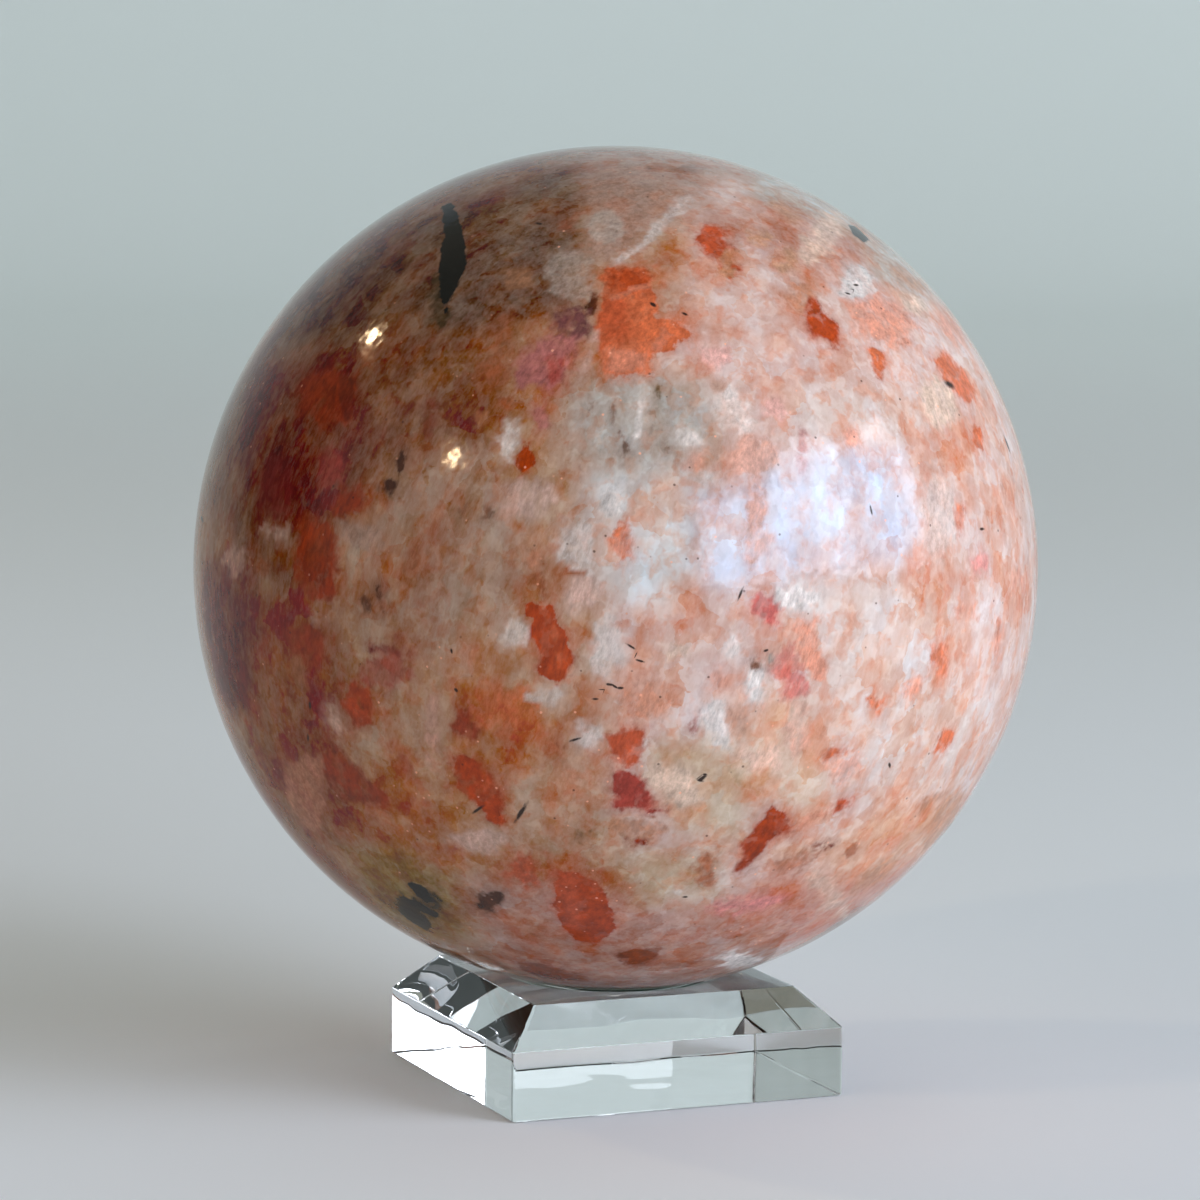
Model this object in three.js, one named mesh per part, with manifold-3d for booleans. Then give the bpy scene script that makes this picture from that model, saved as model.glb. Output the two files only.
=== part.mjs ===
// A polished sunstone sphere resting in the round dish of a clear, square acrylic stand.
// Millimetres, +Z up. The origin is the middle of the stand's underside, and the front of the stand faces -Y.

import * as THREE from "three";
import { mergeVertices } from "three/addons/utils/BufferGeometryUtils.js";
import Module from "manifold-3d";

// Driving dimensions
const SPHERE_RADIUS = 61;
const STAND_SIDE = 50.8; // a two inch square
const STAND_HEIGHT = 15.4;
const BEVEL = 5.4; // the four upper edges are planed off at 45 degrees by this much
const DISH_RIM_RADIUS = 15.9;
const DISH_CURVE_RADIUS = 36; // radius of the ball-nosed cutter that hollowed the dish
const SEAT_GAP = 0.3; // between the sphere and the rim of the dish that carries it

// How finely the round surfaces are faceted
const SPHERE_DETAIL = 13; // divisions of each edge of an icosahedron
const DISH_SIDES = 72;
const DISH_STEPS = 8;
const CUTTER_CLEARANCE = 4; // how far the cutter stands out above the stand

const STAND_CORNERS = 4;
const STAND_TURN = Math.PI / STAND_CORNERS; // puts the flats of a four sided lathe on the X and Y axes

const wasm = await Module();
wasm.setup();

// A three.js geometry as a solid that can be cut: only the places of its merged vertices count.
function solidFrom(geometry) {
  const bare = geometry.clone();
  bare.deleteAttribute("normal");
  bare.deleteAttribute("uv");
  const merged = mergeVertices(bare, 1e-4);
  return new wasm.Manifold(
    new wasm.Mesh({
      numProp: 3,
      vertProperties: merged.attributes.position.array,
      triVerts: new Uint32Array(merged.index.array),
    }),
  );
}

// The cut solid as a flat shaded three.js geometry.
function geometryFrom(solid) {
  const mesh = solid.getMesh();
  const indexed = new THREE.BufferGeometry();
  indexed.setAttribute("position", new THREE.BufferAttribute(mesh.vertProperties, mesh.numProp));
  indexed.setIndex(new THREE.BufferAttribute(mesh.triVerts, 1));
  const geometry = indexed.toNonIndexed();
  geometry.computeVertexNormals();
  return geometry;
}

// A profile of [radius, height] points, turned about the Z axis with the given number of sides.
function turned(profile, sides) {
  const points = profile.map(([radius, height]) => new THREE.Vector2(radius, height));
  return new THREE.LatheGeometry(points, sides).rotateX(Math.PI / 2);
}

// Height above the dish's lowest point of the cutter's surface, at a distance from the axis.
const cutterRise = (radius) => DISH_CURVE_RADIUS - Math.sqrt(DISH_CURVE_RADIUS ** 2 - radius ** 2);

// The square block: upright sides, then the 45 degree bevel up to the flat top.
function standBlock() {
  const corner = (STAND_SIDE / 2) * Math.SQRT2;
  const topCorner = (STAND_SIDE / 2 - BEVEL) * Math.SQRT2;
  const profile = [
    [0, 0],
    [corner, 0],
    [corner, STAND_HEIGHT - BEVEL],
    [topCorner, STAND_HEIGHT],
    [0, STAND_HEIGHT],
  ];
  return turned(profile, STAND_CORNERS).rotateZ(STAND_TURN);
}

// The ball-nosed cutter, from its lowest point out past the top of the stand.
function dishCutter() {
  const dishFloor = STAND_HEIGHT - cutterRise(DISH_RIM_RADIUS);
  const profile = Array.from({ length: DISH_STEPS + 1 }, (_, step) => {
    const radius = (DISH_RIM_RADIUS * step) / DISH_STEPS;
    return [radius, dishFloor + cutterRise(radius)];
  });
  profile.push([DISH_RIM_RADIUS, STAND_HEIGHT + CUTTER_CLEARANCE]);
  profile.push([0, STAND_HEIGHT + CUTTER_CLEARANCE]);
  return turned(profile, DISH_SIDES);
}

// Clear cast acrylic, with the dish cut into its top.
function acrylicStand() {
  const dished = solidFrom(standBlock()).subtract(solidFrom(dishCutter()));
  const material = new THREE.MeshStandardMaterial({
    color: 0xe9f1f1,
    roughness: 0.05,
    metalness: 0,
    transparent: true,
    opacity: 0.35,
  });
  const mesh = new THREE.Mesh(geometryFrom(dished), material);
  mesh.name = "acrylic_stand";
  return mesh;
}

// The stone, ground and polished round all over. Its weight is on the rim of the dish.
function sunstoneSphere() {
  const material = new THREE.MeshStandardMaterial({ color: 0xcf9f8b, roughness: 0.15, metalness: 0 });
  const mesh = new THREE.Mesh(new THREE.IcosahedronGeometry(SPHERE_RADIUS, SPHERE_DETAIL), material);
  const centreToRim = Math.sqrt((SPHERE_RADIUS + SEAT_GAP) ** 2 - DISH_RIM_RADIUS ** 2);
  mesh.name = "sunstone_sphere";
  mesh.position.z = STAND_HEIGHT + centreToRim;
  return mesh;
}

const sunstoneOnStand = new THREE.Group();
sunstoneOnStand.add(acrylicStand(), sunstoneSphere());

export default sunstoneOnStand;
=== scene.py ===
# A polished sunstone sphere in the round dish of a clear, square acrylic stand. Metres, +Z up.

import math

import bpy
import numpy as np
from mathutils import Matrix, Vector


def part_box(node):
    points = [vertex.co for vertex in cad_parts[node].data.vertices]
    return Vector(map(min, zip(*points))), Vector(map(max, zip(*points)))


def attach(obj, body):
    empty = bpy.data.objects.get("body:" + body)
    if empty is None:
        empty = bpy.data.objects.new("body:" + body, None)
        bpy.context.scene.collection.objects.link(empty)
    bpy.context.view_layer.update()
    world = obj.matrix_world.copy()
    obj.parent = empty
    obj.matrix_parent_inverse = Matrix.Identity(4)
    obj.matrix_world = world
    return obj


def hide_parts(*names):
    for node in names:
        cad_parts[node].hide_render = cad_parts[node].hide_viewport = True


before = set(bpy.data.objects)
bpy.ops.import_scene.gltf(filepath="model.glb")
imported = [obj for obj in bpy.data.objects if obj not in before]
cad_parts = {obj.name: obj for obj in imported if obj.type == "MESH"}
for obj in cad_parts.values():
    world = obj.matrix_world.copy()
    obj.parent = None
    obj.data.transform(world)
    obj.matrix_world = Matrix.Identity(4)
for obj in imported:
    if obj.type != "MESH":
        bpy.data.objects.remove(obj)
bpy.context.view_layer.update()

# Camera
# A long lens, a little to the left of the stand's front and a little above its top. Its place comes from
# eight corners of the stand and the outline of the sphere. It is made first, because the stone's grains are
# placed through it.

PHOTO_SIDE = 1200  # pixels
SENSOR_WIDTH = 36.0  # millimetres, as Blender gives it
LENS = 150.0  # millimetres
PIXELS_PER_RADIAN = LENS / SENSOR_WIDTH * PHOTO_SIDE
CAMERA_DISTANCE = 0.7248
CAMERA_AZIMUTH = math.radians(-21.98)
CAMERA_DOWNWARD = math.radians(6.84)
CAMERA_ROLL = math.radians(0.30)
CAMERA_ASIDE = -0.00225
CAMERA_RAISED = -0.0046


def put(name, data):
    """An object with that data, put in the scene."""
    made = bpy.data.objects.new(name, data)
    bpy.context.scene.collection.objects.link(made)
    return made


stone_low, stone_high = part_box("sunstone_sphere")
stone_centre = (stone_low + stone_high) / 2
view_forward = Vector(
    (
        -math.sin(CAMERA_AZIMUTH) * math.cos(CAMERA_DOWNWARD),
        math.cos(CAMERA_AZIMUTH) * math.cos(CAMERA_DOWNWARD),
        -math.sin(CAMERA_DOWNWARD),
    )
)
level_right = Vector((math.cos(CAMERA_AZIMUTH), math.sin(CAMERA_AZIMUTH), 0))
level_up = level_right.cross(view_forward)
view_right = level_right * math.cos(CAMERA_ROLL) + level_up * math.sin(CAMERA_ROLL)
view_up = level_up * math.cos(CAMERA_ROLL) - level_right * math.sin(CAMERA_ROLL)

camera = put("camera", bpy.data.cameras.new("camera"))
camera.data.sensor_width = SENSOR_WIDTH
camera.data.lens = LENS
camera.location = stone_centre - view_forward * CAMERA_DISTANCE
camera.location += view_right * CAMERA_ASIDE + view_up * CAMERA_RAISED
camera.rotation_mode = "QUATERNION"
camera.rotation_quaternion = Matrix((view_right, view_up, -view_forward)).transposed().to_quaternion()
bpy.context.scene.camera = camera

# Stand
# A two inch block of clear cast acrylic. It is sawn square, its four upper edges are planed off at 45
# degrees, and a ball-nosed cutter hollows the dish. All faces and edges are flame and buff polished. It
# stands loose on the table.

BEVEL = 0.0054
DISH_RIM_RADIUS = 0.0159
DISH_CURVE_RADIUS = 0.036
DISH_SHARE = 0.986  # of the dish's angle is left inside its polished rim
EDGE_POLISH = 0.00025  # how far polishing rounds an edge
RIM_RINGS = ((1.0, 0.0), (0.4, 0.06))  # of the polished rim: how far out and how far down, in EDGE_POLISH
UPRIGHT_EDGE_RADIUS = 0.0005
EDGE_STEPS = 4
DISH_RINGS = 20
CORNER_POINTS = 6
SIDE_POINTS = 26
WAVES_PER_METRE = 110.0  # in the polish, so about one in 9 mm
WAVE_HEIGHT = 0.00012
ACRYLIC_BEND = 1.49  # its index of refraction


def rounded_profile(points, radius, steps):
    """The profile with its inner points replaced by arcs of that radius."""
    made = [points[0]]
    for before, corner, after in zip(points, points[1:], points[2:]):
        to_before = (before - corner).normalized()
        to_after = (after - corner).normalized()
        half_angle = to_before.angle(to_after) / 2
        middle = corner + (to_before + to_after).normalized() * radius / math.sin(half_angle)
        start = corner + to_before * radius / math.tan(half_angle) - middle
        end = corner + to_after * radius / math.tan(half_angle) - middle
        sweep = start.angle(end)
        for step in range(steps + 1):
            share = step / steps
            place = start * math.sin((1 - share) * sweep) + end * math.sin(share * sweep)
            made.append(middle + place / math.sin(sweep))
    made.append(points[-1])
    return made


def square_loop(half, corner_radius, height):
    """Points round a square with rounded corners: each corner in turn, then the side that follows it."""
    made = []
    for quarter in range(4):
        cosine, sine = math.cos(quarter * math.pi / 2), math.sin(quarter * math.pi / 2)
        reach = half - corner_radius
        corner = []
        for point in range(CORNER_POINTS):
            angle = math.pi / 2 * point / (CORNER_POINTS - 1)
            corner.append((reach + corner_radius * math.cos(angle), reach + corner_radius * math.sin(angle)))
        for point in range(1, SIDE_POINTS + 1):
            corner.append((reach * (1 - 2 * point / (SIDE_POINTS + 1)), half))
        for x, y in corner:
            made.append((x * cosine - y * sine, x * sine + y * cosine, height))
    return made


def round_loop(radius, height):
    """As many points round a circle, in step with those of square_loop."""
    in_quarter = CORNER_POINTS + SIDE_POINTS
    made = []
    for point in range(4 * in_quarter):
        angle = math.pi / 4 + (point - (CORNER_POINTS - 1) / 2) * math.pi / 2 / in_quarter
        made.append((radius * math.cos(angle), radius * math.sin(angle), height))
    return made


stand_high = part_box("acrylic_stand")[1]
stand_half = stand_high.x
stand_height = stand_high.z
outside = rounded_profile(
    [
        Vector((stand_half / 2, 0)),
        Vector((stand_half, 0)),
        Vector((stand_half, stand_height - BEVEL)),
        Vector((stand_half - BEVEL, stand_height)),
        Vector((DISH_RIM_RADIUS, stand_height)),
    ],
    EDGE_POLISH,
    EDGE_STEPS,
)
loops = []
for half, height in outside[1:-1]:
    loops.append(square_loop(half, UPRIGHT_EDGE_RADIUS, height))
for outward, downward in RIM_RINGS:
    loops.append(round_loop(DISH_RIM_RADIUS + EDGE_POLISH * outward, stand_height - EDGE_POLISH * downward))
first_dish_loop = len(loops)
rim_angle = math.asin(DISH_RIM_RADIUS / DISH_CURVE_RADIUS)
for ring in range(DISH_RINGS):
    angle = rim_angle * DISH_SHARE * (1 - ring / DISH_RINGS)
    drop = DISH_CURVE_RADIUS * (math.cos(angle) - math.cos(rim_angle))
    loops.append(round_loop(DISH_CURVE_RADIUS * math.sin(angle), stand_height - drop))
dish_floor = stand_height - DISH_CURVE_RADIUS * (1 - math.cos(rim_angle))

in_loop = len(loops[0])
corners = [point for loop in loops for point in loop]
underside_middle = len(corners)
dish_middle = underside_middle + 1
corners += [(0, 0, 0), (0, 0, dish_floor)]
faces = []
smooth_faces = []
for row in range(len(loops) - 1):
    lower, upper = row * in_loop, (row + 1) * in_loop
    for point in range(in_loop):
        beside = (point + 1) % in_loop
        faces.append((lower + point, lower + beside, upper + beside, upper + point))
        smooth_faces.append(row >= first_dish_loop - 1)
last = (len(loops) - 1) * in_loop
for point in range(in_loop):
    beside = (point + 1) % in_loop
    faces.append((underside_middle, beside, point))
    smooth_faces.append(False)
    faces.append((last + point, last + beside, dish_middle))
    smooth_faces.append(True)

stand_mesh = bpy.data.meshes.new("clear_stand")
stand_mesh.from_pydata(corners, [], faces)
stand_mesh.polygons.foreach_set("use_smooth", smooth_faces)
stand_mesh.validate()
stand = put("clear_stand", stand_mesh)


def linear(colour):
    """An sRGB hex colour as linear red, green, blue and alpha."""
    channels = []
    for start in (1, 3, 5):
        value = int(colour[start : start + 2], 16) / 255
        channels.append(value / 12.92 if value <= 0.04045 else ((value + 0.055) / 1.055) ** 2.4)
    return (*channels, 1.0)


def emptied_tree(owner):
    """The node tree of a material or a world, with nothing in it."""
    owner.use_nodes = True
    owner.node_tree.nodes.clear()
    return owner.node_tree


def add(tree, kind, sockets=None, **settings):
    """Adds a node. Each of its sockets, by name or number, gets a value, a node or a node's output."""
    made = tree.nodes.new(kind)
    for name, setting in settings.items():
        setattr(made, name, setting)
    for socket, value in (sockets or {}).items():
        if isinstance(value, bpy.types.Node):
            value = value.outputs[0]
        if isinstance(value, bpy.types.NodeSocket):
            tree.links.new(value, made.inputs[socket])
        else:
            made.inputs[socket].default_value = value
    return made


# Cast acrylic, polished: water clear, with the faintest green in its depth. Hand polishing leaves its faces
# slightly wavy, which bends what is seen through them.
acrylic = bpy.data.materials.new("cast acrylic, polished clear")
tree = emptied_tree(acrylic)
on_block = add(tree, "ShaderNodeTexCoord").outputs["Object"]
waves = add(tree, "ShaderNodeTexNoise", {"Vector": on_block, "Scale": WAVES_PER_METRE, "Detail": 0.0})
wavy = add(tree, "ShaderNodeBump", {"Height": waves, "Strength": 1.0, "Distance": WAVE_HEIGHT})
shader = add(
    tree,
    "ShaderNodeBsdfPrincipled",
    {
        "Base Color": linear("#ffffff"),
        "Roughness": 0.0,
        "IOR": ACRYLIC_BEND,
        "Transmission Weight": 1.0,
        "Normal": wavy,
    },
)
depth = add(tree, "ShaderNodeVolumeAbsorption", {"Color": linear("#dfeeea"), "Density": 3.0})
add(tree, "ShaderNodeOutputMaterial", {"Surface": shader, "Volume": depth})
stand.data.materials.append(acrylic)
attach(stand, "root")
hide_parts("acrylic_stand")

# Stone
# One piece of sunstone, a feldspar with coppery plates in it. It is cut from the rough, ground between cups
# until it is round, and polished. It lies in the dish by its own weight.

STONE_RADIUS = 0.061
GROUND_DIVISIONS = 124  # squares along each edge of the cube that is blown up into the ball
ball_tree = bpy.data.node_groups.new("ground ball", "GeometryNodeTree")
for socket, kind, way in (
    ("Radius", "Float", "INPUT"),
    ("Centre", "Vector", "INPUT"),
    ("Divisions", "Int", "INPUT"),
    ("Material", "Material", "INPUT"),
    ("Ball", "Geometry", "OUTPUT"),
):
    ball_tree.interface.new_socket(socket, in_out=way, socket_type=f"NodeSocket{kind}")
given = add(ball_tree, "NodeGroupInput").outputs
points_along = add(ball_tree, "ShaderNodeMath", {0: given["Divisions"], 1: 1.0}, operation="ADD")
on_edges = {f"Vertices {edge}": points_along for edge in "XYZ"}
cube = add(ball_tree, "GeometryNodeMeshCube", {"Size": (2, 2, 2), **on_edges})
on_cube = add(ball_tree, "GeometryNodeInputPosition")
as_angle = add(ball_tree, "ShaderNodeVectorMath", {0: on_cube, "Scale": math.pi / 4}, operation="SCALE")
evened = add(ball_tree, "ShaderNodeVectorMath", {0: as_angle}, operation="TANGENT")
outward = add(ball_tree, "ShaderNodeVectorMath", {0: evened}, operation="NORMALIZE")
blown = add(ball_tree, "ShaderNodeVectorMath", {0: outward, "Scale": given["Radius"]}, operation="SCALE")
in_place = add(ball_tree, "ShaderNodeVectorMath", {0: blown, 1: given["Centre"]}, operation="ADD")
ball = add(ball_tree, "GeometryNodeSetPosition", {"Geometry": cube, "Position": in_place})
smooth = add(ball_tree, "GeometryNodeSetShadeSmooth", {"Geometry": ball})
real = add(ball_tree, "GeometryNodeRealizeInstances", {"Geometry": smooth})
coated = add(ball_tree, "GeometryNodeSetMaterial", {"Geometry": real, "Material": given["Material"]})
add(ball_tree, "NodeGroupOutput", {"Ball": coated})

feldspar = bpy.data.materials.new("sunstone feldspar, ground and polished")

rough_ball = put("rough_ball", bpy.data.meshes.new("rough_ball"))
grinding = rough_ball.modifiers.new("grinding", "NODES")
grinding.node_group = ball_tree
sizes = {
    "Radius": STONE_RADIUS,
    "Centre": tuple(stone_centre),
    "Divisions": GROUND_DIVISIONS,
    "Material": feldspar,
}
for socket in ball_tree.interface.items_tree:
    if socket.name in sizes:
        grinding[socket.identifier] = sizes[socket.name]
seen = rough_ball.evaluated_get(bpy.context.evaluated_depsgraph_get())
stone_mesh = bpy.data.meshes.new_from_object(seen)
stone_mesh.name = "polished_stone"
stone = put("polished_stone", stone_mesh)
bpy.data.objects.remove(rough_ball)

# Tints of the grains, as they look in white light. The shaded tints hold painted shade as well as the stone's
# own colour, and the sheen laid over the window's reflection is a painted reflection.
TINTS = {
    "cream": "#cbaf9c",
    "shaded cream": "#bb9f88",
    "white": "#d8cdc6",
    "snow": "#eee6e2",
    "dull white": "#c8bfba",
    "pale peach": "#d6ae9b",
    "blush": "#d8a49a",
    "bright pink": "#d0837c",
    "bright copper": "#c96b46",
    "red copper": "#ae4826",
    "dark amber": "#802708",
    "dark red": "#7e1c14",
    "dull tan": "#98694c",
    "shaded taupe": "#715547",
    "dark olive": "#33250c",
    "grey beige": "#a5826e",
    "shaded clay": "#8b4a25",
    "shell": "#c9b3a9",
    "light beige": "#b28f79",
    "lavender sheen": "#b7b0b8",
    "pale pink": "#c6a69a",
    "peach": "#ca9d85",
    "clay": "#a26440",
    "light clay": "#b87a5f",
    "salmon": "#cb856c",
    "pale salmon": "#c79482",
    "rosy": "#b98270",
    "pink": "#c07670",
    "dusty pink": "#a8655f",
    "rose red": "#b5544c",
    "brick red": "#97382c",
    "maroon": "#6d1612",
    "plum": "#6a3a3c",
    "copper": "#c0603a",
    "deep copper": "#a0380a",
    "amber": "#8c2e05",
    "russet": "#6e2206",
    "rust": "#924a26",
    "dark rust": "#86380f",
    "tan": "#aa724f",
    "light tan": "#b28364",
    "beige": "#aa8066",
    "walnut": "#7f5139",
    "umber": "#663d28",
    "dark brown": "#45200c",
    "mauve": "#a48475",
    "dusty rose": "#b58c7e",
    "grey": "#a99a8f",
    "olive": "#5a3e16",
    "pale olive": "#8c6d41",
}
OVAL_POINTS = 10


def oval(x, y, wide, high, lean=0):
    """Points round an oval in the picture. Its top leans to the right by that many degrees."""
    cosine, sine = math.cos(math.radians(lean)), math.sin(math.radians(lean))
    points = []
    for step in range(OVAL_POINTS):
        across = wide / 2 * math.cos(step * math.pi / (OVAL_POINTS / 2))
        upward = high / 2 * math.sin(step * math.pi / (OVAL_POINTS / 2))
        points.append((x + across * cosine + upward * sine, y + across * sine - upward * cosine))
    return points


# Broad clouds of colour: tint, outline in pixels of the photograph
CLOUDS = [
    ("pale pink", [(600, 150), (800, 165), (960, 290), (1040, 450), (1045, 620), (1000, 760), (880, 900),
     (760, 960), (620, 985), (600, 800), (590, 600), (600, 400)]),
    # The dark clouds on the left, where the stone turns from the window, are partly its own colour and partly
    # painted shade
    ("walnut", [(205, 500), (210, 420), (270, 320), (390, 220), (585, 168), (585, 300), (420, 420),
     (300, 620)]),
    ("mauve", [(505, 200), (560, 160), (640, 146), (720, 152), (742, 172), (700, 190), (585, 205),
     (540, 215)]),
    ("shaded taupe", [(400, 225), (470, 185), (585, 168), (585, 255), (560, 300), (500, 330), (430, 335),
     (380, 300)]),
    ("umber", [(290, 260), (390, 225), (400, 290), (370, 330), (320, 345), (270, 350)]),
    ("russet", [(260, 365), (330, 355), (372, 385), (370, 430), (345, 480), (320, 510), (275, 520),
     (240, 480)]),
    ("walnut", [(360, 350), (430, 335), (500, 340), (510, 400), (480, 450), (420, 470), (375, 450)]),
    ("grey beige", [(380, 470), (470, 450), (530, 480), (540, 560), (500, 640), (420, 640), (370, 600),
     (360, 530)]),
    ("russet", [(202, 560), (250, 545), (272, 620), (262, 700), (235, 720), (215, 680)]),
    ("shaded clay", [(262, 600), (330, 600), (350, 700), (345, 760), (370, 830), (330, 850), (250, 740)]),
    ("shaded clay", [(222, 735), (262, 745), (330, 850), (400, 920), (380, 935), (290, 860)]),
    ("tan", [(350, 760), (430, 760), (480, 830), (470, 880), (400, 870), (360, 830)]),
    ("pale olive", [(345, 850), (400, 850), (455, 880), (465, 930), (430, 940), (385, 915)]),
    ("dusty rose", [(470, 880), (560, 880), (700, 905), (780, 900), (760, 950), (680, 985), (560, 985),
     (490, 960)]),
    ("mauve", [(588, 165), (680, 165), (690, 200), (640, 245), (600, 262)]),
    ("grey", [(740, 165), (850, 215), (940, 300), (900, 310), (820, 240), (750, 200)]),
    ("pale pink", [(700, 300), (800, 280), (900, 290), (960, 340), (980, 420), (900, 440), (740, 400)]),
    ("dusty rose", [(690, 215), (780, 205), (860, 245), (870, 280), (800, 290), (720, 300)]),
    ("pale pink", [(720, 290), (800, 285), (850, 330), (840, 400), (760, 400), (710, 340)]),
    ("grey", [(570, 375), (700, 375), (725, 430), (715, 490), (640, 505), (580, 495), (565, 430)]),
    ("dull white", [(590, 480), (690, 470), (720, 520), (700, 600), (640, 640), (600, 610)]),
    # painted reflection: a pale lilac sheen where the window shows in the polish
    ("lavender sheen", [(695, 495), (770, 470), (830, 440), (900, 450), (920, 520), (900, 570), (750, 590),
     (700, 590)]),
    ("pale pink", [(690, 250), (750, 240), (790, 300), (760, 360), (700, 370), (690, 320)]),
    ("pale pink", [(925, 380), (965, 380), (992, 450), (1000, 540), (960, 600), (930, 560), (935, 470)]),
    ("shell", [(780, 395), (880, 385), (930, 410), (900, 440), (800, 440)]),
    ("cream", [(745, 690), (800, 680), (840, 760), (830, 820), (770, 810), (740, 760)]),
    ("pale pink", [(690, 590), (760, 590), (790, 640), (760, 700), (700, 690)]),
    ("shell", [(800, 580), (900, 570), (960, 600), (960, 700), (900, 740), (830, 720), (790, 650)]),
    ("shell", [(820, 720), (940, 690), (990, 700), (960, 790), (880, 810), (830, 790)]),
    ("pale pink", [(990, 400), (1030, 470), (1038, 560), (1030, 660), (1000, 720), (992, 640), (998, 520)]),
    ("pale pink", [(600, 600), (700, 600), (760, 640), (740, 720), (660, 720), (600, 700)]),
    ("light beige", [(480, 600), (600, 600), (610, 700), (580, 760), (500, 760), (460, 700)]),
    ("tan", [(455, 690), (540, 690), (560, 740), (540, 800), (480, 800), (455, 750)]),
    ("light beige", [(500, 775), (600, 760), (620, 840), (560, 860), (500, 840)]),
    # The lower cream clouds are partly the stone's own colour and partly painted shade
    ("shaded cream", [(618, 852), (719, 850), (720, 895), (640, 903)]),
    ("shaded cream", [(640, 745), (720, 730), (760, 770), (740, 840), (680, 830)]),
    ("rosy", [(760, 880), (850, 850), (930, 820), (900, 890), (800, 940), (740, 930)]),
    ("peach", [(780, 850), (900, 800), (960, 800), (930, 850), (850, 880)]),
]

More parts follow.
